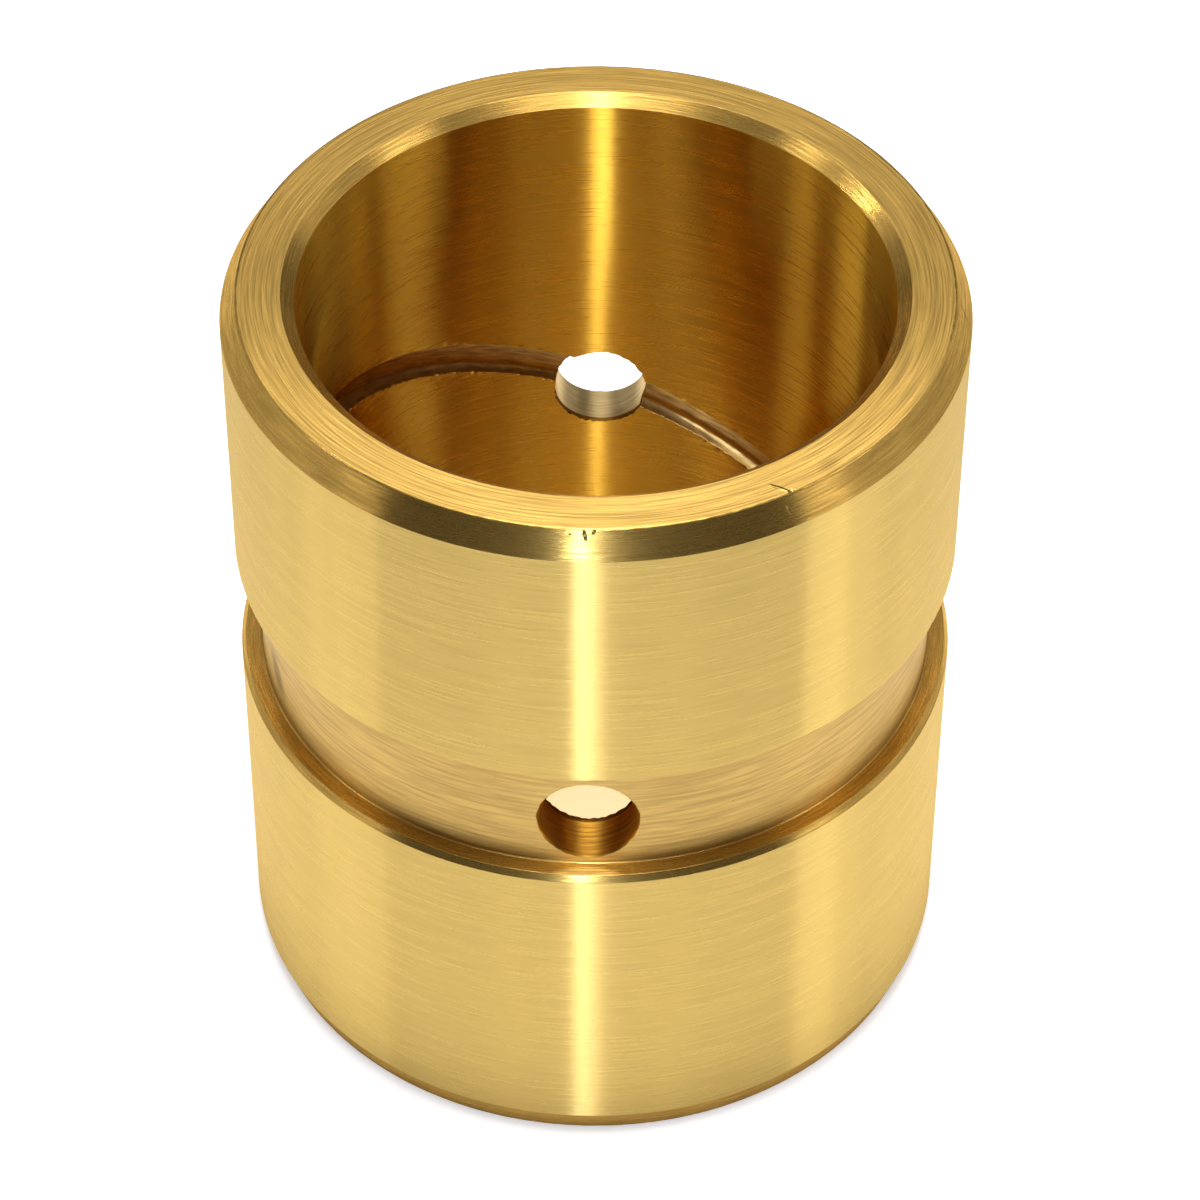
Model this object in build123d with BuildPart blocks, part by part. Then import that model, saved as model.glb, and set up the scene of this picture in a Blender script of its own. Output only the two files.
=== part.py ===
# Boom bushing: a bronze sleeve that is pressed into the lug of a digger's boom,
# where a greased steel pin turns in its bore.
# It stands on its lower end face, with the bore along +Z and one grease hole facing -Y.
import os
from math import hypot, sqrt

from build123d import *

os.makedirs("parts", exist_ok=True)

# Sleeve
bore_diameter = 60.0
wall = 7.5
length = 86.0

# Lead-in chamfers on both ends: how far each goes across the end face, then along the wall
upper_lead_face = 1.7
upper_lead_wall = 2.75
lower_lead_face = 1.0
lower_lead_wall = 2.85
bore_lead_face = 1.35
bore_lead_wall = 1.1

# Grease channel turned round the outside, with bevelled feet and a small chamfer on its lower lip
channel_bottom = 39.7
channel_depth = 2.25
channel_foot = 0.2
lip_face = 0.5
lip_wall = 0.65

# Two grease holes in line across the sleeve, with deburred outer mouths,
# and how much of the channel's floor is left below and above them
hole_diameter = 10.0
hole_edge_break = 0.2
floor_below_hole = 1.2
floor_above_hole = 2.6

# Grease groove in the bore: a round-nosed tool follows one inclined loop,
# which passes over both holes and is highest at -X
groove_rise = 12.1
groove_above_holes = 1.7
groove_tool_radius = 2.0
groove_depth = 1.1

bore_radius = bore_diameter / 2
outer_radius = bore_radius + wall
channel_radius = outer_radius - channel_depth
hole_height = channel_bottom + floor_below_hole + hole_diameter / 2
channel_top = hole_height + hole_diameter / 2 + floor_above_hole

with BuildPart() as boom_bushing:
    # The turned section: up the outside, across the upper end and down the bore
    with BuildSketch(Plane.XZ) as section:
        with BuildLine():
            Polyline(
                (bore_radius + bore_lead_face, 0),
                (outer_radius - lower_lead_face, 0),
                (outer_radius, lower_lead_wall),
                (outer_radius, channel_bottom - lip_wall),
                (outer_radius - lip_face, channel_bottom),
                (channel_radius, channel_bottom),
                (channel_radius, channel_top),
                (outer_radius, channel_top),
                (outer_radius, length - upper_lead_wall),
                (outer_radius - upper_lead_face, length),
                (bore_radius + bore_lead_face, length),
                (bore_radius, length - bore_lead_wall),
                (bore_radius, bore_lead_wall),
                close=True,
            )
        make_face()
        channel_feet = section.vertices().filter_by_position(Axis.X, channel_radius, channel_radius)
        chamfer(channel_feet, channel_foot)
    revolve(axis=Axis.Z)

    # One pass of the drill goes through both walls, and its outer mouths are deburred
    with Locations(Plane(origin=(0, -outer_radius, hole_height), z_dir=(0, -1, 0))):
        Hole(hole_diameter / 2)
    hole_walls = boom_bushing.faces().filter_by(lambda face: face.radius == hole_diameter / 2)
    hole_rims = hole_walls.edges().filter_by(GeomType.LINE, reverse=True)
    outer_mouths = hole_rims.filter_by(lambda rim: abs((rim @ 0).Y) > bore_radius)
    chamfer(outer_mouths, hole_edge_break)

    # The grooving tool's centre runs round an inclined oval of four quarter arcs
    inclined = Plane(
        origin=(0, 0, hole_height + groove_above_holes),
        x_dir=(bore_radius, 0, -groove_rise),
        z_dir=(groove_rise, 0, bore_radius),
    )
    short_reach = bore_radius + groove_depth - groove_tool_radius
    long_reach = short_reach * hypot(1, groove_rise / bore_radius)
    shift = (long_reach - short_reach) / (2 - sqrt(2))
    with BuildLine(inclined) as tool_path:
        CenterArc((shift, 0), long_reach - shift, -45, 90)
        CenterArc((0, -shift), short_reach + shift, 45, 90)
        CenterArc((-shift, 0), long_reach - shift, 135, 90)
        CenterArc((0, shift), short_reach + shift, 225, 90)
    with BuildSketch(Plane(tool_path.line ^ 0)):
        Circle(groove_tool_radius)
    sweep(path=tool_path.line, mode=Mode.SUBTRACT)

boom_bushing.part.label = "boom_bushing"
export_step(boom_bushing.part, "parts/boom_bushing.step")
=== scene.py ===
import bpy
import numpy as np
from mathutils import Matrix, Vector


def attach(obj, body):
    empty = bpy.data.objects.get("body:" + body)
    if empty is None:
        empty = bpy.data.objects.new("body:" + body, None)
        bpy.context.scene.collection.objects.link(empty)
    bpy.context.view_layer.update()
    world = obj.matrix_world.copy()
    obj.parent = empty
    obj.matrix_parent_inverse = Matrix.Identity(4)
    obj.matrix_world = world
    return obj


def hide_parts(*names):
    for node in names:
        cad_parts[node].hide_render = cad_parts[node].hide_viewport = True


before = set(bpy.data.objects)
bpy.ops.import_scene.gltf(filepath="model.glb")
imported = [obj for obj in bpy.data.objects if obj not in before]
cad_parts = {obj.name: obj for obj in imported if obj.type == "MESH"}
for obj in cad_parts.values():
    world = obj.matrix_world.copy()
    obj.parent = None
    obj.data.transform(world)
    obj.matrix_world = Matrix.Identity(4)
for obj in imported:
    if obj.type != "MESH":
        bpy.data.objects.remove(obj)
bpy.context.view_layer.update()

# The sleeve's turned surfaces. The real sleeve is cast tin bronze, turned in a lathe to
# 75 mm outside and 60 mm bore, with a grease channel round it and lead-in chamfers.
# Each edge is broken by hand, so its rounding changes a little on the way round.
bore_radius = 30.0
channel_radius = 35.25
outer_radius = 37.5
sleeve_length = 86.0
channel_bottom = 39.7
channel_top = 53.5

# Each row is one corner of the section, from the bore outwards, up and back: its radius and
# height, how far its edge is broken, how much of that changes on the way round, and the
# surface from there to the next corner.
outline = [
    (31.35, 0.0, 0.10, 0.4, "lower face"),
    (36.5, 0.0, 0.10, 0.4, "lower lead"),
    (outer_radius, 2.85, 0.10, 0.4, "lower band"),
    (outer_radius, 39.05, 0.08, 0.2, "lip"),
    (37.0, channel_bottom, 0.10, 0.2, "ledge"),
    (channel_radius, channel_bottom, 0.20, 0.0, "channel floor"),
    (channel_radius, channel_top, 0.20, 0.0, "shoulder"),
    (outer_radius, channel_top, 0.60, 0.1, "upper band"),
    (outer_radius, 83.25, 0.10, 0.4, "upper lead"),
    (35.8, sleeve_length, 0.38, 0.2, "upper face"),
    (31.35, sleeve_length, 0.12, 0.4, "upper bore lead"),
    (bore_radius, 84.9, 0.06, 0.4, "bore"),
    (bore_radius, 1.1, 0.08, 0.4, "lower bore lead"),
]
section = np.array([row[:2] for row in outline])
edge_breaks, edge_wear = np.array([row[2:4] for row in outline]).T
surfaces = [row[4] for row in outline]
least_break = 0.3
most_break = 2.2

columns = 600
turn = np.arange(columns) * 2 * np.pi / columns
closed_turn = np.append(turn, 2 * np.pi)


def ragged(angle, seed, waves, slowest):
    """Sum of whole waves round the circle with random phases, mostly from -1 to 1.

    There is one wave for each count from slowest to slowest + waves - 1.
    """
    chance = np.random.default_rng(seed)
    counts = slowest + np.arange(waves)
    phases = chance.uniform(0, 2 * np.pi, waves)
    total = np.cos(np.multiply.outer(angle, counts) + phases).sum(axis=-1)
    return total / np.sqrt(waves)


def rounded_section(corners, breaks, steps=5):
    """Rows of a closed section whose corners are rounded by arcs that touch both flats.

    A row on an arc stands at corner - side * radius * (mitre - normal), where the normal
    turns evenly from one flat's to the next and the mitre is where both offsets meet.
    """
    along_in = corners - np.roll(corners, 1, axis=0)
    along_out = np.roll(corners, -1, axis=0) - corners
    angle_in = np.arctan2(along_in[:, 1], along_in[:, 0])
    angle_out = np.arctan2(along_out[:, 1], along_out[:, 0])
    bend = (angle_out - angle_in + np.pi) % (2 * np.pi) - np.pi
    facing = angle_in[:, None] - np.pi / 2 + bend[:, None] * np.linspace(0, 1, steps)
    normal = np.stack([np.cos(facing), np.sin(facing)], axis=-1)
    mitre = (normal[:, 0] + normal[:, -1]) / (1 + np.cos(bend))[:, None]
    side = np.sign(bend)[:, None, None, None]
    step_back = (mitre[:, None] - normal)[:, :, None] * side
    rows = corners[:, None, None] - breaks[:, None, :, None] * step_back
    return rows, normal


wear = np.stack([ragged(turn, seed, waves=150, slowest=30) for seed in range(len(outline))])
worn = np.clip(1 + edge_wear[:, None] * wear, least_break, most_break)
rows, row_normals = rounded_section(section, edge_breaks[:, None] * worn)

patches = []


def closed(array):
    """The array with its first column added again at the end, so that the ring closes."""
    return np.concatenate([array, array[:, :1]], axis=1)


def add_patch(name, points, normals, lines, flow, kept=None):
    """Keeps a grid of points with what its mesh needs.

    lines is where each point lies on the turning lines, two numbers round the axis and one
    across the lines. flow is the map that the glint follows, across the lines first.
    kept says which cells of the grid are made.
    """
    if kept is None:
        kept = np.ones((points.shape[0] - 1, points.shape[1] - 1), bool)
    patches.append((name, points, normals, lines, flow, kept))


def turned(radii, heights, normals, across):
    """Points, normals and maps of rows that go round the axis.

    A normal leans against the way round by the rise of the surface along its own normal
    for each millimetre of the way.
    """
    cos, sin = np.cos(turn), np.sin(turn)
    step = 2 * np.pi / columns
    radius_change = (np.roll(radii, -1, axis=1) - np.roll(radii, 1, axis=1)) / (2 * step)
    height_change = (np.roll(heights, -1, axis=1) - np.roll(heights, 1, axis=1)) / (2 * step)
    out, up = normals[..., 0:1], normals[..., 1:2]
    lean = (out * radius_change + up * height_change) / radii
    points = np.stack([radii * cos, radii * sin, heights], axis=-1)
    facing = np.stack([out * cos + lean * sin, out * sin - lean * cos, up + 0 * lean], axis=-1)
    across = np.broadcast_to(across, radii.shape)
    lines = np.stack([radii * cos, radii * sin, across], axis=-1)
    way = np.broadcast_to(closed_turn * radii.mean(), closed(across).shape)
    flow = np.stack([closed(across), way], axis=-1)
    return closed(points), closed(facing), closed(lines), flow


# Each surface takes its lines from a place of its own in the pattern
line_shift = 97.0
bore_shift = 1000.0
floor_shift = 2000.0
hole_shift = 3000.0

middle = rows.shape[1] // 2
flat_rows = {}
for index, name in enumerate(surfaces):
    after = (index + 1) % len(surfaces)
    row_points = np.concatenate([rows[index, middle:], rows[after, : middle + 1]])
    normals = np.concatenate([row_normals[index, middle:], row_normals[after, : middle + 1]])
    flat_rows[name] = row_points, normals
    if name not in ("channel floor", "bore"):
        flat = section[after] - section[index]
        across = (row_points - section[index]) @ flat / np.linalg.norm(flat)
        radii, heights = row_points[..., 0], row_points[..., 1]
        add_patch(name, *turned(radii, heights, normals, across + line_shift * index))

# The bore and the grease groove in it. The bore is fine turned for the pin. A tool with a
# nearly flat nose then cuts one inclined loop in it, highest at -X, which carries grease
# round. It leaves a small ragged burr on both sides.
groove_rise = 12.1
groove_height = 47.6
groove_half_width = 1.8
groove_depth = 1.1
groove_edge_rounding = 0.05
burr_height = 0.09
burr_width = 0.10
burr_place = 1.88


def off_groove(angle, height):
    """Distance from the groove's middle line, square to it, upwards positive.

    The line is at groove_height - groove_rise * cos(angle), and its slope is its change of
    height for each millimetre round the bore.
    """
    slope = np.arctan(groove_rise * np.sin(angle) / bore_radius)
    return (height - groove_height + groove_rise * np.cos(angle)) * np.cos(slope)


def groove_cut(angle, height):
    """How far the surface lies behind the plain bore.

    Inside, it is depth * (1 - (distance / half width)^6), a flat floor between two round
    flanks, and a soft maximum with zero rounds its edges. Beside each edge stands the burr,
    a ragged ridge that is higher below the groove than above it.
    """
    off = off_groove(angle, height)
    away = np.abs(off)
    cut = groove_depth * (1 - np.minimum(away / groove_half_width, 1.5) ** 6)
    below = ragged(angle, seed=61, waves=120, slowest=150)
    above = 0.5 * ragged(angle, seed=62, waves=90, slowest=80)
    torn = np.clip(np.where(off < 0, below, above), 0, 2)
    burr = burr_height * torn * np.exp(-(((away - burr_place) / burr_width) ** 2))
    return 0.5 * (cut + np.sqrt(cut**2 + groove_edge_rounding**2)) - burr


def bore_point(angle, height):
    """Point of the bore's surface at an angle and a height."""
    radius = bore_radius + groove_cut(angle, height)
    return np.stack([radius * np.cos(angle), radius * np.sin(angle), height], axis=-1)


def bore_normal(angle, height, step=0.02):
    """Normal of the bore's surface, towards the axis: up the wall crossed with round it."""
    turned_by = step / bore_radius
    ahead = bore_point(angle + turned_by, height) - bore_point(angle - turned_by, height)
    up = bore_point(angle, height + step) - bore_point(angle, height - step)
    normal = np.cross(up, ahead)
    return normal / np.linalg.norm(normal, axis=-1, keepdims=True)


# Rows that follow the groove, by their distance from its middle line, square to it. A window
# of these rows is left open round each hole.
window_top = 5.4
window_bottom = -8.0
beside_groove = 2.0
at_burr = burr_place + np.array([0.06, 0.0, -0.06])
in_groove = groove_half_width * np.sin(np.radians(np.linspace(80, -80, 13)))
off_rows = np.concatenate([
    np.linspace(window_top, beside_groove, 6),
    at_burr,
    in_groove,
    -at_burr[::-1],
    np.linspace(-beside_groove, window_bottom, 10),
])
window_columns = 20
window_rows = len(off_rows)

row_points, normals = flat_rows["bore"]
arc_rows = len(row_points) // 2
top_edge, bottom_edge = row_points[arc_rows - 1, :, 1], row_points[arc_rows, :, 1]
stretch = 1 / np.cos(np.arctan(groove_rise * np.sin(turn) / bore_radius))
middle_line = groove_height - groove_rise * np.cos(turn)
window_heights = middle_line + off_rows[:, None] * stretch
above_window = np.linspace(top_edge, window_heights[0], 5)[1:-1]
below_window = np.linspace(window_heights[-1], bottom_edge, 4)[1:-1]
bore_heights = np.concatenate([
    row_points[:arc_rows, :, 1],
    above_window,
    window_heights,
    below_window,
    row_points[arc_rows:, :, 1],
])
bore_angles = np.broadcast_to(turn, bore_heights.shape)
bore_points = bore_point(bore_angles, bore_heights)
bore_normals = bore_normal(bore_angles, bore_heights)
cos, sin = np.cos(turn), np.sin(turn)
for end in (slice(0, arc_rows), slice(-arc_rows, None)):
    bore_points[end, :, :2] *= (row_points[end, :, 0] / bore_radius)[..., None]
    out, up = normals[end, None, 0], normals[end, None, 1]
    bore_normals[end] = np.stack([out * cos, out * sin, up + 0 * cos], axis=-1)


def wall_maps(angle, height, radius, shift):
    """Lines and flow of a wall that stands up: the lines go round, and the glint up it."""
    across = height + shift + 0 * angle
    lines = np.stack([radius * np.cos(angle), radius * np.sin(angle), across], axis=-1)
    flow = np.stack([across, radius * angle], axis=-1)
    return lines, flow


def centred_columns(side):
    """Columns of the window round a hole, from -X to +X. side is -1 in front, 1 behind."""
    centre = columns * (2 - side) // 4
    return centre - side * np.arange(-window_columns, window_columns + 1)


def window_border(down, side):
    """Row and column numbers round the window: along its top, down, back and up again.

    down is the window's rows from the top one to the lowest.
    """
    across = centred_columns(side)
    top = np.stack([np.full(len(across), down[0]), across])
    right = np.stack([down, np.full(len(down), across[-1])])
    bottom = np.stack([np.full(len(across), down[-1]), across[::-1]])
    left = np.stack([down[::-1], np.full(len(down), across[0])])
    return np.concatenate([top[:, :-1], right[:, :-1], bottom[:, :-1], left], axis=1)


def outside_windows(row_count, first_row):
    """Which cells of a closed grid lie outside both windows."""
    kept = np.ones((row_count - 1, columns), bool)
    for side in (-1, 1):
        low = centred_columns(side).min()
        kept[first_row : first_row + window_rows - 1, low : low + 2 * window_columns] = False
    return kept


def add_bore(angle, height, points, normals, kept):
    """Adds a part of the bore's wall. In the groove, lines and glint follow the cut."""
    lines, flow = wall_maps(angle, height, bore_radius, bore_shift)
    off = off_groove(angle, height)
    groove_lines = np.concatenate([lines[..., :2], off[..., None]], axis=-1)
    groove_flow = np.stack([off, bore_radius * angle], axis=-1)
    cell_off = np.abs(off[:-1, :-1] + off[1:, 1:]) / 2
    plain = cell_off > burr_place - 0.04
    add_patch("bore", points, normals, lines, flow, kept & plain)
    add_patch("groove", points, normals, groove_lines, groove_flow, kept & ~plain)


first_window_row = arc_rows + len(above_window)
closed_heights = closed(bore_heights)
closed_angles = np.broadcast_to(closed_turn, closed_heights.shape)
kept = outside_windows(len(bore_heights), first_window_row)
add_bore(closed_angles, closed_heights, closed(bore_points), closed(bore_normals), kept)

# The two grease holes, drilled square through both walls in one pass that rose a little on
# its way. The drill leaves fine rings and a torn rim where it breaks through into the bore,
# and the outer mouths are scraped to a small bevel.
hole_radius = 5.0
mouth_radius = 5.2
mouth_waviness = 0.04
mouth_bevel = 0.22
rim_widening = 0.03
rim_raggedness = 0.09
rim_width = 0.6
rings = 7

# How high the holes are: -1 is the front one and 1 the rear one
hole_heights = {-1: 45.7, 1: 46.4}

# Where the highest and the lowest row of a window end on the rim, by their distance from
# the groove's middle line
rim_top = 2.9
rim_bottom = -5.1

# Room between the channel's rounded feet and the rows of its windows
foot_room = 0.15

# How far the normals at a hole's edges lean towards the surface outside it
edge_lean = 0.9

row_points, normals = flat_rows["channel floor"]
floor_bottom, floor_top = row_points[arc_rows - 1, :, 1], row_points[arc_rows, :, 1]
floor_rows = np.linspace(floor_top - foot_room, floor_bottom + foot_room, window_rows)[::-1]
floor_heights = np.concatenate([
    row_points[:arc_rows, :, 1],
    floor_rows,
    row_points[arc_rows:, :, 1],
])
floor_radii = np.concatenate([
    row_points[:arc_rows, :, 0],
    np.full(floor_rows.shape, channel_radius),
    row_points[arc_rows:, :, 0],
])
floor_normals = np.concatenate([
    normals[:arc_rows],
    np.broadcast_to([1.0, 0.0], (window_rows, 2)),
    normals[arc_rows:],
])
floor_points, floor_facing, floor_lines, floor_flow = turned(
    floor_radii, floor_heights, floor_normals, floor_heights + floor_shift
)
kept = outside_windows(len(floor_heights), arc_rows)
add_patch("channel floor", floor_points, floor_facing, floor_lines, floor_flow, kept)

for side, hole_height in hole_heights.items():
    # Where the window's rows meet the round hole: the groove's rows run straight on to it,
    # and those above and below draw together to end on its rim
    tilt = np.arctan(groove_rise / bore_radius)
    side_off = np.interp(
        off_rows,
        [window_bottom, -beside_groove, beside_groove, window_top],
        [rim_bottom, -beside_groove, beside_groove, rim_top],
    )
    from_centre = (groove_height - hole_height) * np.cos(tilt) + side_off
    side_turn = np.arcsin(from_centre / hole_radius)
    right_turn = side_turn - tilt
    left_turn = -np.pi - side_turn - tilt
    steps_across = 2 * window_columns + 1
    top_turn = np.linspace(left_turn[0] + 2 * np.pi, right_turn[0], steps_across)
    bottom_turn = np.linspace(right_turn[-1], left_turn[-1], steps_across)
    hole_turn = np.concatenate([
        top_turn[:-1],
        right_turn[:-1],
        bottom_turn[:-1],
        left_turn[::-1],
    ])
    torn = np.clip(ragged(hole_turn, seed=71 + side, waves=40, slowest=6), -0.6, 2.0)
    rim = hole_radius + rim_raggedness * torn + rim_widening
    waviness = mouth_waviness * ragged(hole_turn, seed=81 + side, waves=30, slowest=5)
    mouth = mouth_radius + waviness
    share = np.linspace(0, 1, rings + 1)[:, None]

    # From the window's border to the torn rim. The rim's place across the bore depends on
    # how deep the groove is there, so it is found by going over it six times.
    at_row, at_column = window_border(first_window_row + np.arange(window_rows), side)
    border_x = bore_radius * np.cos(turn[at_column])
    border_z = bore_heights[at_row, at_column]
    rim_x, rim_z = rim * np.cos(hole_turn), hole_height + rim * np.sin(hole_turn)
    lateral = rim_x * bore_radius / (bore_radius + 0.5)
    for _ in range(6):
        behind = groove_cut(side * np.arccos(lateral / bore_radius), rim_z)
        lateral = rim_x * bore_radius / (bore_radius + behind)
    x_rows = border_x + (lateral - border_x) * share
    z_rows = border_z + (rim_z - border_z) * share
    angles = side * np.arccos(x_rows / bore_radius)
    points = bore_point(angles, z_rows)
    points[0] = bore_points[at_row, at_column]
    facing = bore_normal(angles, z_rows)
    add_bore(angles, z_rows, points, facing, True)
    bore_rim, rim_facing = points[-1], facing[-1]

    # From the window's border in the channel's floor to the mouth
    at_row, at_column = window_border(arc_rows + np.arange(window_rows)[::-1], side)
    border_x = channel_radius * np.cos(turn[at_column])
    border_z = floor_heights[at_row, at_column]
    mouth_x, mouth_z = mouth * np.cos(hole_turn), hole_height + mouth * np.sin(hole_turn)
    x_rows = border_x + (mouth_x - border_x) * share
    z_rows = border_z + (mouth_z - border_z) * share
    angles = side * np.arccos(x_rows / channel_radius)
    out = np.stack([np.cos(angles), np.sin(angles), 0 * angles], axis=-1)
    points = out * channel_radius
    points[..., 2] = z_rows
    points[0] = floor_points[at_row, at_column]
    add_patch(
        "channel floor", points, out, *wall_maps(angles, z_rows, channel_radius, floor_shift)
    )
    floor_mouth, mouth_facing = points[-1], out[-1]

    # The hole's wall, from the torn rim through the drilled wall to the scraped mouth
    inward = np.stack([-np.cos(hole_turn), 0 * hole_turn, -np.sin(hole_turn)], axis=-1)
    wall_x = hole_radius * np.cos(hole_turn)
    wall_z = hole_height + hole_radius * np.sin(hole_turn)
    depth_inner = bore_rim[:, 1] + side * rim_width
    depth_outer = floor_mouth[:, 1] - side * mouth_bevel
    wall_rows = [
        np.stack([wall_x, depth_inner + (depth_outer - depth_inner) * part, wall_z], axis=-1)
        for part in np.linspace(0, 1, 5)
    ]
    points = np.stack([bore_rim, *wall_rows, floor_mouth])
    facing = np.stack([
        inward + rim_facing * edge_lean,
        *[inward] * len(wall_rows),
        inward + mouth_facing * edge_lean,
    ])
    facing /= np.linalg.norm(facing, axis=-1, keepdims=True)
    depth = points[..., 1]
    round_hole = np.broadcast_to(hole_radius * hole_turn, depth.shape)
    lines = np.stack([
        np.broadcast_to(wall_x, depth.shape),
        np.broadcast_to(hole_radius * np.sin(hole_turn), depth.shape),
        depth + hole_shift,
    ], axis=-1)
    flow = np.stack([depth, round_hole], axis=-1)
    add_patch("torn rim", points[:2], facing[:2], lines[:2], flow[:2])
    wall_name = "front grease hole" if side < 0 else "rear grease hole"
    add_patch(wall_name, points[1:], facing[1:], lines[1:], flow[1:])

# The finishes. All surfaces are one bare tin bronze, and what changes is how each was cut
# and its colour, which is set deeper or paler where it paints in the shade and reflections
# that the surface shows.
# The real lines lie 0.05 to 0.1 mm apart, too fine to show, so they are drawn 0.15 to
# 0.4 mm wide.


def linear(colour):
    """Linear red, green and blue of an sRGB hex colour."""
    parts = np.array([int(colour[place : place + 2], 16) for place in (1, 3, 5)]) / 255
    low, high = parts / 12.92, ((parts + 0.055) / 1.055) ** 2.4
    return tuple(np.where(parts <= 0.04045, low, high)) + (1.0,)


def add_node(tree, kind, inputs=None, **settings):
    """Adds a node, gives it its settings, and sets or links its inputs by name or number."""
    node = tree.nodes.new(kind)
    for name, value in settings.items():
        setattr(node, name, value)
    for name, value in (inputs or {}).items():
        named = [socket for socket in node.inputs if socket.identifier == name]
        socket = named[0] if named else node.inputs[name]
        if isinstance(value, bpy.types.NodeSocket):
            tree.links.new(value, socket)
        else:
            socket.default_value = value
    return node


def mark_mask(tree, start, end, width):
    """Mask of one mark of use from start to end, in mm: 1 in its middle, 0 outside it."""
    start, end = Vector(start) / 1000, Vector(end) / 1000
    along = end - start
    place = add_node(tree, "ShaderNodeTexCoord")
    local = add_node(tree, "ShaderNodeMapping", {
        "Vector": place.outputs["Object"],
        "Location": (start + end) / 2,
        "Rotation": along.to_track_quat("X", "Z").to_euler(),
        "Scale": (along.length / 2, width / 2000, width / 2000),
    }, vector_type="TEXTURE")
    away = add_node(tree, "ShaderNodeVectorMath", {0: local.outputs[0]}, operation="LENGTH")
    return add_node(tree, "ShaderNodeMapRange", {
        "Value": away.outputs["Value"], "From Min": 1.0, "From Max": 0.2,
    }, interpolation_type="SMOOTHSTEP")


def machined_bronze(
    name, colour, across, along, haze, width, length, depth, shade, uneven, specks=0.0, marks=()
):
    """Bare bronze with the fine lines of its cutting.

    Most of its gloss is a glint that the lines throw far across themselves and little along
    themselves: across and along are those two spreads, and the shader's roughness and
    anisotropy follow from them. The share called haze is a soft even gloss. The lines are
    width wide, length long and depth deep, in mm, shade is how dark they are and uneven is
    how much the spreads differ from line to line. specks is how dark the small pores are,
    and each mark has its ends, width, depth and shade.
    """
    weak, strong = 0.35, 0.65
    haze_roughness = 0.38
    tarnish = 0.4
    material = bpy.data.materials.new(name)
    material.use_nodes = True
    tree = material.node_tree
    tree.nodes.clear()
    places = add_node(tree, "ShaderNodeAttribute", attribute_name="lines")
    scaled = add_node(
        tree, "ShaderNodeVectorMath",
        {0: places.outputs["Vector"], 1: (1 / length, 1 / length, 1 / width)},
        operation="MULTIPLY",
    )
    lines = add_node(
        tree, "ShaderNodeTexNoise",
        {"Vector": scaled.outputs[0], "Scale": 1.0, "Detail": 2.0, "Roughness": 0.6},
    )
    height = add_node(
        tree, "ShaderNodeMath", {0: lines.outputs["Fac"], 1: depth / 1000}, operation="MULTIPLY"
    )
    dark = add_node(tree, "ShaderNodeMapRange", {
        "Value": lines.outputs["Fac"], "From Min": weak, "From Max": strong,
        "To Min": shade, "To Max": 0.0,
    })
    if specks:
        pores = add_node(
            tree, "ShaderNodeTexNoise",
            {"Vector": places.outputs["Vector"], "Scale": 1.1, "Detail": 3.0, "Roughness": 0.7},
        )
        pores = add_node(tree, "ShaderNodeMapRange", {
            "Value": pores.outputs["Fac"], "From Min": 0.68, "From Max": 0.72, "To Max": specks,
        })
        dark = add_node(
            tree, "ShaderNodeMath", {0: dark.outputs[0], 1: pores.outputs[0]}, operation="MAXIMUM"
        )
    for start, end, mark_width, mark_depth, mark_shade in marks:
        mask = mark_mask(tree, start, end, mark_width)
        height = add_node(tree, "ShaderNodeMath", {
            0: mask.outputs[0], 1: -mark_depth / 1000, 2: height.outputs[0],
        }, operation="MULTIPLY_ADD")
        dark = add_node(tree, "ShaderNodeMath", {
            0: mask.outputs[0], 1: mark_shade, 2: dark.outputs[0],
        }, operation="MULTIPLY_ADD", use_clamp=True)
    bump = add_node(tree, "ShaderNodeBump", {"Height": height.outputs[0], "Distance": 1.0})
    tarnished = tuple(tarnish * part for part in linear(colour)[:3]) + (1.0,)
    metal = add_node(
        tree, "ShaderNodeMix",
        {"Factor_Float": dark.outputs[0], "A_Color": linear(colour), "B_Color": tarnished},
        data_type="RGBA",
    )
    flow = add_node(tree, "ShaderNodeTangent", direction_type="UV_MAP", uv_map="flow")
    spread = np.sqrt(across * along)
    rough = add_node(tree, "ShaderNodeMapRange", {
        "Value": lines.outputs["Fac"], "From Min": weak, "From Max": strong,
        "To Min": (1 + uneven) * np.sqrt(spread), "To Max": (1 - uneven) * np.sqrt(spread),
    })
    glint = add_node(tree, "ShaderNodeBsdfAnisotropic", {
        "Color": metal.outputs[2],
        "Roughness": rough.outputs[0],
        "Anisotropy": along / spread - 1,
        "Tangent": flow.outputs[0],
        "Normal": bump.outputs[0],
    })
    soft = add_node(tree, "ShaderNodeBsdfPrincipled", {
        "Base Color": metal.outputs[2],
        "Metallic": 1.0,
        "Roughness": haze_roughness,
        "Normal": bump.outputs[0],
    })
    gloss = add_node(
        tree, "ShaderNodeMixShader", {0: haze, 1: glint.outputs[0], 2: soft.outputs[0]}
    )
    add_node(tree, "ShaderNodeOutputMaterial", {"Surface": gloss.outputs[0]})
    return material


# The bands that sit in the boom, fine turned: an even pale gold with one narrow bright line
band = machined_bronze(
    "fine turned bronze", "#E4C16E", across=0.50, along=0.0125, haze=0.2,
    width=0.28, length=9.0, depth=0.05, shade=0.10, uneven=0.035, specks=0.15,
)
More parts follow.
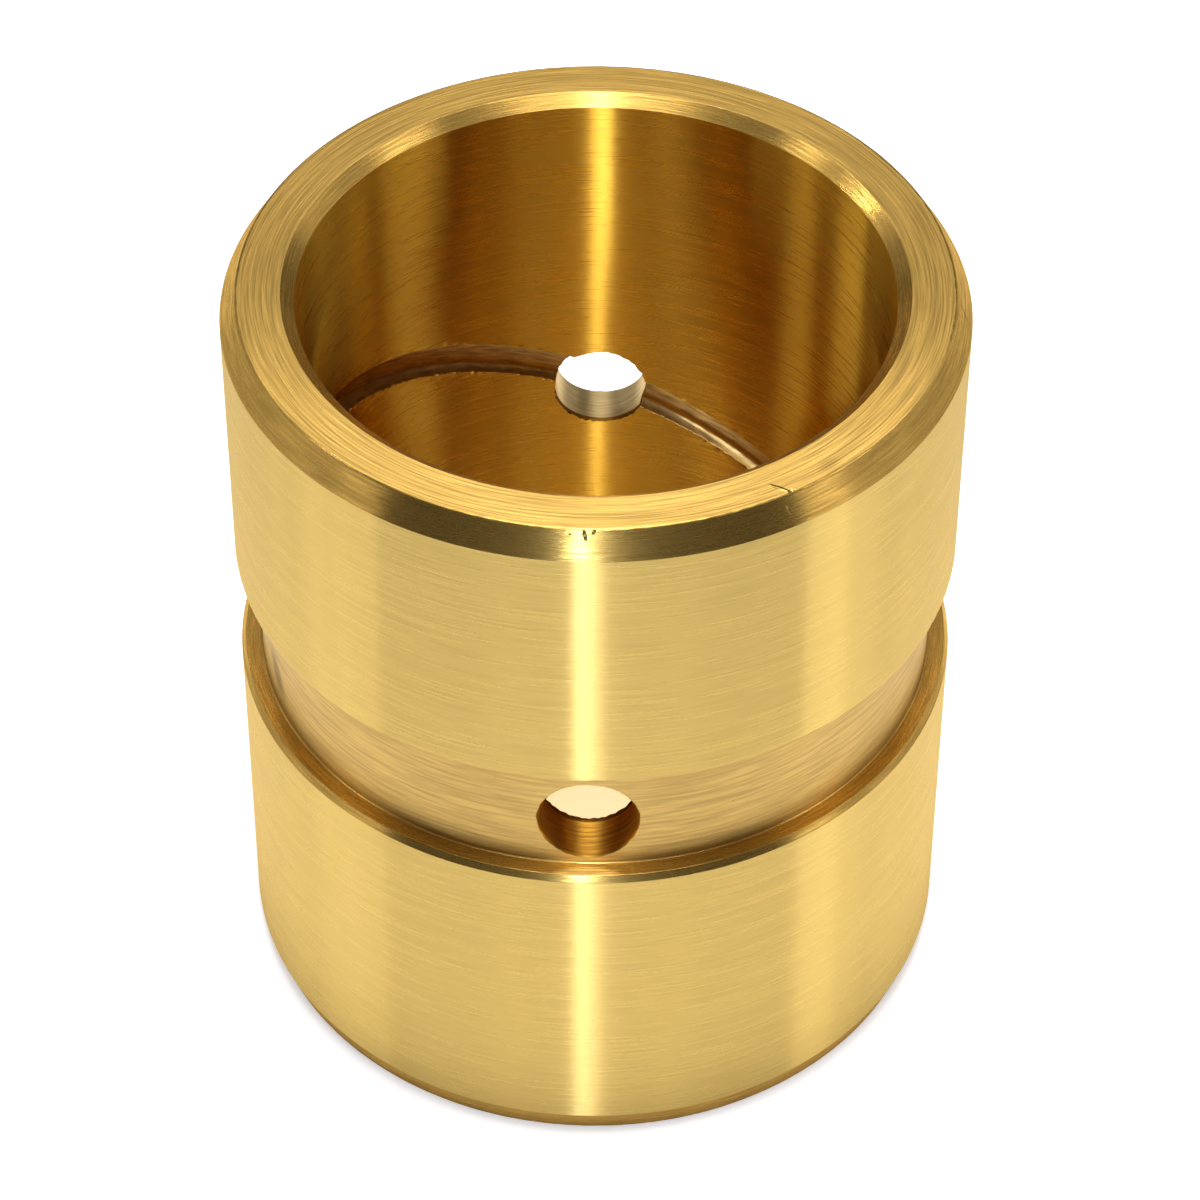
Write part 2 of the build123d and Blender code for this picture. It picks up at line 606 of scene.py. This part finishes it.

# The leads, the lip and the ledge, cut with a polished edge: they mirror the dark round
# them, and only a narrow part of each flares white. The upper lead is nicked, with painted
# shade on the nick's two flanks.
chamfer = machined_bronze(
    "chamfered bronze", "#E7B85E", across=0.15, along=0.039, haze=0.06,
    width=0.20, length=5.0, depth=0.02, shade=0.6, uneven=0.12, specks=0.3,
    marks=[
        # The first two marks are the nick's flanks: a shallow dent and painted shade
        ((-0.50, -35.8, 86.05), (-0.20, -36.5, 84.9), 0.40, 0.06, 1.0),
        ((0.62, -35.8, 86.0), (0.35, -36.15, 85.45), 0.35, 0.06, 1.0),
        ((-1.9, -36.05, 85.55), (-1.6, -36.1, 85.45), 0.3, 0.06, 0.8),
        ((36.0, -1.1, 85.6), (36.9, -3.1, 84.1), 0.3, 0.03, 1.0),
        ((18.5, -31.2, 85.5), (19.1, -31.6, 84.2), 0.3, 0.05, 0.8),
    ],
)

# The end faces, faced off and then used: pale gold with dark lines, a raised scratch that
# ends in a ding, and a reddish blotch
faced = machined_bronze(
    "faced bronze", "#E7BA62", across=0.14, along=0.055, haze=0.15,
    width=0.17, length=9.0, depth=0.02, shade=0.8, uneven=0.08, specks=0.6,
    marks=[
        ((16.7, -29.2, 86.0), (18.9, -30.2, 86.0), 0.5, -0.10, 0.0),
        ((18.7, -29.9, 86.0), (19.6, -30.6, 86.0), 0.8, 0.16, 0.0),
        ((21.3, -27.8, 86.0), (24.1, -25.0, 86.0), 2.2, 0.0, 0.3),
    ],
)

# The channel's floor, turned with a coarser feed: matter and browner, with a stain
channel = machined_bronze(
    "matt turned bronze", "#D2AD64", across=0.44, along=0.070, haze=0.4,
    width=0.30, length=6.0, depth=0.04, shade=0.4, uneven=0.05, specks=0.4,
    marks=[((-33.4, -11.0, 47.0), (-31.6, -15.5, 41.0), 4.0, 0.0, 0.7)],
)

# The bore, fine bored: deep amber, its colour set deeper than the bands' as a painted
# reflection of the bronze in itself, with one small raised nick on the right
bored = machined_bronze(
    "fine bored bronze", "#E9B23C", across=0.62, along=0.0125, haze=0.03,
    width=0.22, length=10.0, depth=0.035, shade=0.07, uneven=0.13,
    marks=[((28.5, 9.3, 76.2), (28.3, 9.9, 77.0), 0.3, -0.08, 0.0)],
)

# The grease groove, cut in one deep pass: a greyer gold, painted darker for the shade in
# its recess, that glints where its floor turns to the light
shaded_groove_bronze = machined_bronze(
    "tool-cut bronze with painted shade", "#C6A463", across=0.12, along=0.08, haze=0.03,
    width=0.25, length=2.0, depth=0.04, shade=0.7, uneven=0.1,
)

# The rear grease hole, drilled: greyish, with rings round it
drilled = machined_bronze(
    "drilled bronze", "#E3C68C", across=0.30, along=0.10, haze=0.3,
    width=0.4, length=5.0, depth=0.05, shade=0.4, uneven=0.05, specks=0.4,
)

# The front grease hole, drilled: deep amber, painted darker than the rear hole for the
# shade and the bronze's reflections inside it
shaded = machined_bronze(
    "oiled drilled bronze", "#DDA13C", across=0.30, along=0.10, haze=0.2,
    width=0.3, length=5.0, depth=0.05, shade=0.6, uneven=0.15, specks=0.6,
)

# Where the drill broke through into the bore, the metal is torn and uneven, and coloured dark
torn_metal = machined_bronze(
    "torn bronze", "#906526", across=0.25, along=0.12, haze=0.2,
    width=0.15, length=0.6, depth=0.10, shade=0.8, uneven=0.1,
)
finishes = {
    "lower face": faced,
    "lower lead": chamfer,
    "lower band": band,
    "lip": chamfer,
    "ledge": chamfer,
    "channel floor": channel,
    "shoulder": chamfer,
    "upper band": band,
    "upper lead": chamfer,
    "upper face": faced,
    "upper bore lead": chamfer,
    "bore": bored,
    "lower bore lead": chamfer,
    "groove": shaded_groove_bronze,
    "front grease hole": shaded,
    "rear grease hole": drilled,
    "torn rim": torn_metal,
}

# The sleeve as one closed mesh: all surfaces meet at shared points, and each keeps its own
# normals, so that a cut edge stays crisp.
corner_points, corner_normals, corner_lines, corner_flow, corner_finish = [], [], [], [], []
materials = list(dict.fromkeys(finishes.values()))
for name, points, normals, lines, flow, kept in patches:
    numbers = np.arange(points.shape[0] * points.shape[1]).reshape(points.shape[:2])
    cells = np.stack([
        numbers[:-1, :-1],
        numbers[:-1, 1:],
        numbers[1:, 1:],
        numbers[1:, :-1],
    ], axis=-1)[kept]
    flat_points, flat_normals = points.reshape(-1, 3), normals.reshape(-1, 3)
    corners = flat_points[cells]
    facing = np.cross(corners[:, 2] - corners[:, 0], corners[:, 3] - corners[:, 1])
    backwards = (facing * flat_normals[cells].sum(axis=1)).sum(axis=1) < 0
    cells[backwards] = cells[backwards][:, ::-1]
    corner_points.append(flat_points[cells])
    corner_normals.append(flat_normals[cells])
    corner_lines.append(lines.reshape(-1, 3)[cells])
    corner_flow.append(flow.reshape(-1, 2)[cells])
    corner_finish.append(np.full(len(cells), materials.index(finishes[name])))

corners = np.concatenate(corner_points).reshape(-1, 3) / 1000
_, first, numbers = np.unique(
    np.round(corners, 8), axis=0, return_index=True, return_inverse=True
)
mesh = bpy.data.meshes.new("bronze_sleeve")
mesh.from_pydata(corners[first].tolist(), [], numbers.reshape(-1, 4).tolist(), shade_flat=False)
for material in materials:
    mesh.materials.append(material)
mesh.polygons.foreach_set("material_index", np.concatenate(corner_finish).astype(np.int32))
mesh.uv_layers.new(name="flow").uv.foreach_set("vector", np.concatenate(corner_flow).ravel())
line_places = mesh.attributes.new("lines", "FLOAT_VECTOR", "CORNER")
line_places.data.foreach_set("vector", np.concatenate(corner_lines).ravel())
mesh.normals_split_custom_set(np.concatenate(corner_normals).reshape(-1, 3).tolist())
sleeve = bpy.data.objects.new("bronze_sleeve", mesh)
bpy.context.collection.objects.link(sleeve)
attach(sleeve, "root")
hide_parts("boom_bushing")

# White paper under the sleeve, with the sleeve's soft shadow round its foot, deepened by a
# painted shadow where its glow fades out. The eye sees it white, and the metal sees it
# whitest near the sleeve, a painted pool of light. In the bore it has a painted pale yellow
# glow for the light that the bronze throws on it, and the bore mirrors one painted patch of
# bright light on it.
paper = bpy.data.materials.new("white paper")
paper.use_nodes = True
tree = paper.node_tree
tree.nodes.clear()
matt = add_node(tree, "ShaderNodeBsdfDiffuse", {"Color": linear("#F8F8F7")})
rays = add_node(tree, "ShaderNodeLightPath")
place = add_node(tree, "ShaderNodeTexCoord")
distance = add_node(tree, "ShaderNodeVectorMath", {0: place.outputs["Object"]}, operation="LENGTH")

# The open paper glows to the eye and, less so further away, in the metal. The glow fades
# out towards the foot, a painted shadow.
glow_past_painted_shadow = add_node(tree, "ShaderNodeMapRange", {
    "Value": distance.outputs["Value"], "From Min": 0.030, "From Max": 0.044, "To Max": 0.7,
}, interpolation_type="SMOOTHSTEP")
# A painted pool of light: in the metal the paper glows brightest within 0.14 m of the sleeve
painted_light_pool = add_node(tree, "ShaderNodeMapRange", {
    "Value": distance.outputs["Value"], "From Min": 0.14, "From Max": 0.26,
    "To Min": 1.0, "To Max": 0.2,
})
# In the metal too the glow fades out near the foot, a painted shadow
clear = add_node(tree, "ShaderNodeMapRange", {
    "Value": distance.outputs["Value"], "From Min": 0.037, "From Max": 0.050,
}, interpolation_type="SMOOTHSTEP")
mirrored = add_node(
    tree, "ShaderNodeMath", {0: painted_light_pool.outputs[0], 1: clear.outputs[0]}, operation="MULTIPLY"
)
mirrored = add_node(tree, "ShaderNodeMath", {
    0: rays.outputs["Is Glossy Ray"], 1: mirrored.outputs[0],
}, operation="MULTIPLY")
seen = add_node(tree, "ShaderNodeMath", {
    0: rays.outputs["Is Camera Ray"], 1: mirrored.outputs[0],
}, operation="MAXIMUM")
open_paper = add_node(
    tree, "ShaderNodeMath", {0: glow_past_painted_shadow.outputs[0], 1: seen.outputs[0]}, operation="MULTIPLY"
)

# A painted pale yellow glow on the paper in the bore, for the light that the bronze throws
# on it. Only the eye sees it, through the front grease hole
painted_glow_in_bore = add_node(tree, "ShaderNodeMapRange", {
    "Value": distance.outputs["Value"], "From Min": 0.0305, "From Max": 0.029, "To Max": 0.5,
})
painted_glow_in_bore = add_node(tree, "ShaderNodeMath", {
    0: painted_glow_in_bore.outputs[0], 1: rays.outputs["Is Camera Ray"],
}, operation="MULTIPLY")

# A painted patch of bright light on the paper, seen only in reflections, which the groove's
# right side mirrors
from_patch = add_node(tree, "ShaderNodeVectorMath", {
    0: place.outputs["Object"], 1: (-0.0205, -0.004, 0.0),
}, operation="DISTANCE")
painted_light_patch = add_node(tree, "ShaderNodeMapRange", {
    "Value": from_patch.outputs["Value"], "From Min": 0.009, "From Max": 0.004, "To Max": 2.4,
}, interpolation_type="SMOOTHSTEP")
painted_light_patch = add_node(tree, "ShaderNodeMath", {
    0: painted_light_patch.outputs[0], 1: rays.outputs["Is Glossy Ray"],
}, operation="MULTIPLY")
lit = matt
for shine, colour in ((open_paper, "#FFFFFF"), (painted_glow_in_bore, "#FFD650"), (painted_light_patch, "#FFFFFF")):
    glow = add_node(
        tree, "ShaderNodeEmission", {"Color": linear(colour), "Strength": shine.outputs[0]}
    )
    lit = add_node(tree, "ShaderNodeAddShader", {0: lit.outputs[0], 1: glow.outputs[0]})
add_node(tree, "ShaderNodeOutputMaterial", {"Surface": lit.outputs[0]})
floor_mesh = bpy.data.meshes.new("paper")
floor_mesh.from_pydata([(-3, -3, 0), (3, -3, 0), (3, 3, 0), (-3, 3, 0)], [], [(0, 1, 2, 3)])
floor_mesh.materials.append(paper)
floor = bpy.data.objects.new("paper", floor_mesh)
bpy.context.collection.objects.link(floor)

# A dark cloth screen stands round the table, lower than most lamps, with pale cards before
# it beside and behind the sleeve. The chamfers and the bore show them as pale and dark
# fields, and nothing but reflections meets them.
cloth_steps = 32
screen_radius = 0.36
card_radius = 0.355


def bent_cloth(name, first, last, bottom, top, radius, level):
    """Cloth that stands bent round the table from one degree to another, 0 at +X."""
    cloth = bpy.data.materials.new(name)
    cloth.use_nodes = True
    tree = cloth.node_tree
    tree.nodes.clear()
    dim = add_node(tree, "ShaderNodeEmission", {"Color": linear("#FFFFFF"), "Strength": level})
    add_node(tree, "ShaderNodeOutputMaterial", {"Surface": dim.outputs[0]})
    cloth.cycles.emission_sampling = "NONE"
    way = np.radians(np.linspace(first, last, cloth_steps + 1))
    edge = np.stack([radius * np.cos(way), radius * np.sin(way), 0 * way], axis=-1)
    points = np.concatenate([edge + (0, 0, bottom), edge + (0, 0, top)])
    start = np.arange(cloth_steps)
    upper = start + cloth_steps + 1
    cells = np.stack([start, start + 1, upper + 1, upper], axis=-1)
    cloth_mesh = bpy.data.meshes.new(name)
    cloth_mesh.from_pydata(points.tolist(), [], cells.tolist())
    cloth_mesh.materials.append(cloth)
    standing = bpy.data.objects.new(name, cloth_mesh)
    standing.visible_camera = False
    bpy.context.collection.objects.link(standing)


bent_cloth("dark screen", 0, 360, 0, 0.42, screen_radius, 0.04)

# Each card has its first and last degree, its bottom and top, and how bright it is
cards = {
    "front left card": (-160, -147, 0, 0.20, 0.95),
    "left card": (-185, -160, 0, 0.20, 0.57),
    "front right card": (-33, -20, 0, 0.20, 1.5),
    "right card": (-20, 5, 0, 0.20, 0.55),
    "low back card": (5, 175, 0, 0.14, 0.42),
    "low right wing": (5, 50, 0.14, 0.20, 0.52),
    "middle right wing": (5, 43, 0.20, 0.26, 0.70),
    "high right wing": (5, 40, 0.26, 0.31, 1.2),
    "low left wing": (130, 175, 0.14, 0.20, 0.46),
    "middle left wing": (137, 175, 0.20, 0.26, 0.40),
    "high left wing": (137, 175, 0.26, 0.31, 0.62),
    "high back card": (5, 175, 0.32, 0.42, 0.38),
}
for name, (first, last, bottom, top, level) in cards.items():
    bent_cloth(name, first, last, bottom, top, card_radius, level)

# This one keeps the left strip lamp off the outside, so that it lights only the bore
bent_cloth("strip lamp flag", 149.5, 160, 0.12, 0.25, 0.176, 0.42)

# Softbox lamps. Narrow ones in front draw the bright line down the sleeve, the top and back
# ones light its bands and its face, and those at the sides draw the sheens in the bore.


def softbox(name, place, aim, width, height, glow, colour="#FFFFFF"):
    """A softbox lamp. Its power is pi times its area times the brightness of its cloth."""
    lamp = bpy.data.lights.new(name, "AREA")
    lamp.shape = "RECTANGLE"
    lamp.size = width
    lamp.size_y = height
    lamp.energy = np.pi * width * height * glow
    lamp.color = linear(colour)[:3]
    box = bpy.data.objects.new(name, lamp)
    bpy.context.collection.objects.link(box)
    box.location = place
    box.rotation_euler = (Vector(aim) - Vector(place)).to_track_quat("-Z", "Y").to_euler()
    box.visible_camera = False


softbox("low strip lamp", (-0.0165, -0.34, 0.19), (0, 0, 0.05), 0.018, 0.08, 42, "#CCE0FF")
softbox("high strip lamp", (0.001, -0.25, 0.40), (0, 0, 0.05), 0.018, 0.24, 29, "#DDE6FF")
softbox("front lamp", (-0.004, -0.26, 0.47), (0, 0, 0.05), 0.12, 0.08, 3, "#DDE6FF")
softbox("top lamp", (0, 0, 0.9), (0, 0, 0), 0.45, 0.45, 5.5)
softbox("back lamp", (-0.02, 0.50, 0.68), (0, 0, 0.05), 0.58, 0.46, 2.6)
softbox("left lamp", (-0.33, 0.010, 0.36), (0, 0, 0.06), 0.06, 0.16, 4.5)
softbox("left strip lamp", (-0.285, 0.170, 0.33), (0, 0, 0.07), 0.014, 0.14, 24)
softbox("right lamp", (0.33, -0.03, 0.36), (0, 0, 0.06), 0.13, 0.16, 3.6)

# Dim daylight in the studio
world = bpy.data.worlds.new("studio")
bpy.context.scene.world = world
world.use_nodes = True
tree = world.node_tree
tree.nodes.clear()
glow = add_node(tree, "ShaderNodeBackground", {"Color": linear("#FFFFFF"), "Strength": 0.2})
add_node(tree, "ShaderNodeOutputWorld", {"Surface": glow.outputs[0]})

# The camera looks 43.7 degrees down, 479 mm from the sleeve's middle, and stands one degree
# to the right of the front. It is turned and rolled a little, a fifth of a degree at most,
# so that the sleeve stands in the picture as it does in the photo.
camera_data = bpy.data.cameras.new("camera")
camera_data.lens = 135.64
camera_data.sensor_width = 36.0
camera = bpy.data.objects.new("camera", camera_data)
bpy.context.collection.objects.link(camera)
target = Vector((0, 0, 0.04262))
round_axis = Matrix.Rotation(np.radians(1.0), 4, "Z")
looking_down = Matrix.Rotation(np.radians(90 - 43.668), 4, "X")
trim = Matrix.Rotation(np.radians(-0.062), 4, "Y") @ Matrix.Rotation(np.radians(0.196), 4, "Z")
back_off = Matrix.Translation((0, 0, 0.4787))
camera.matrix_world = Matrix.Translation(target) @ round_axis @ looking_down @ back_off @ trim
bpy.context.scene.camera = camera

bpy.context.scene.view_settings.view_transform = "Standard"
bpy.context.scene.cycles.glossy_bounces = 12
